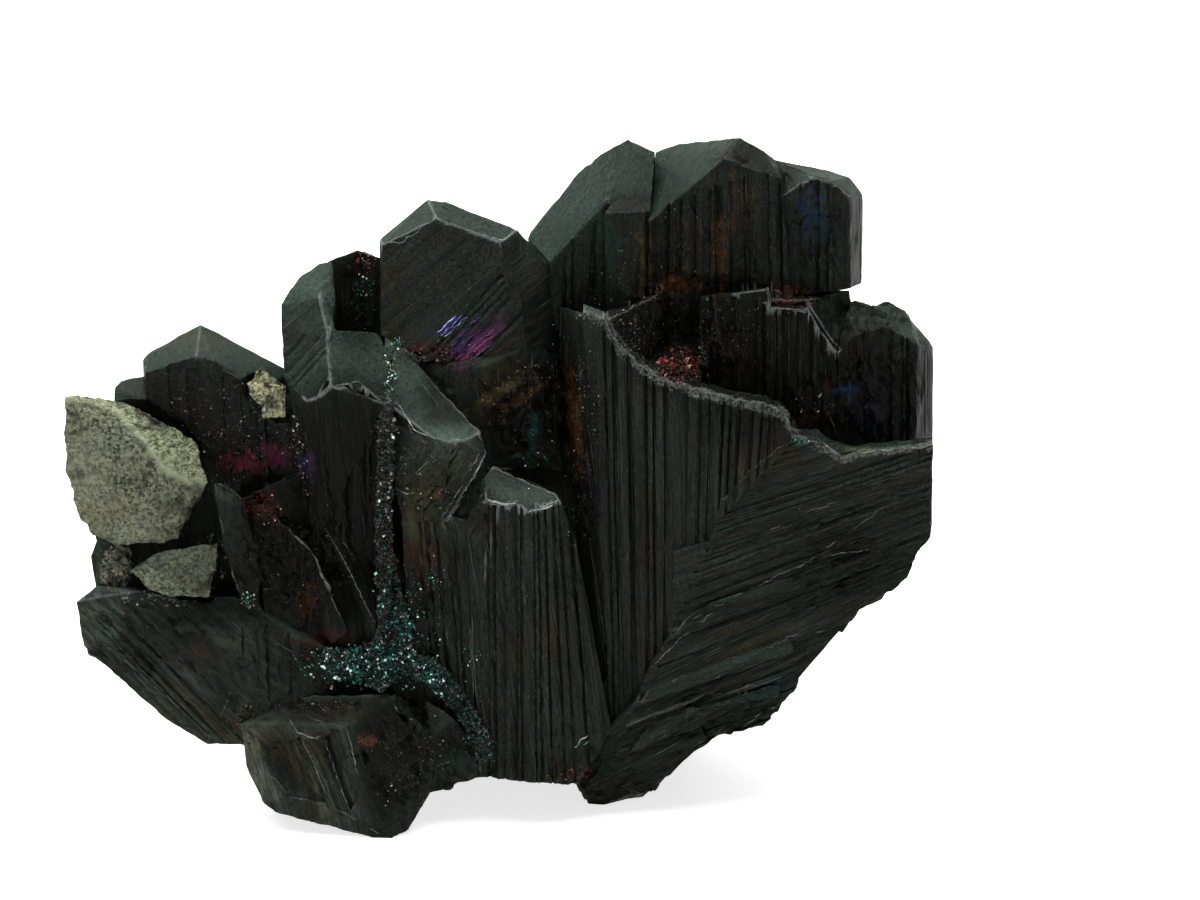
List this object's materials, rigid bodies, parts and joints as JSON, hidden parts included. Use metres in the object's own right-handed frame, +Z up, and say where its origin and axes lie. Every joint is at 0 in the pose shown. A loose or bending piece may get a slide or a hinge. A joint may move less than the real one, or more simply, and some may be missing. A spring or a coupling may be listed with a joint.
{
  "type": "chalcocite crystal specimen",
  "caption": "Hand specimen of dark striated chalcocite crystals grown together, with chips of grey host rock and a green malachite crust.",
  "frame": {"origin": "middle of the specimen's plan, on the surface it stands on", "axes": "+X along its length, to the right seen from the front; -Y out of the front faces; +Z up"},
  "size_m": [0.058, 0.0328, 0.0442],
  "materials": {
    "chalcocite": "submetallic, striated",
    "malachite_druse": "drusy, glittering",
    "host_rock": "granular, matt",
    "host_rock_lower": "granular, matt",
    "pale_rock": "granular, matt"
  },
  "bodies": {
    "root": {"chalcocite_cluster": "chalcocite", "malachite_crust": "malachite_druse", "matrix_chip_upper": "host_rock", "matrix_chip_lower": "host_rock_lower", "matrix_crumb": "pale_rock"}
  },
  "joints": []
}
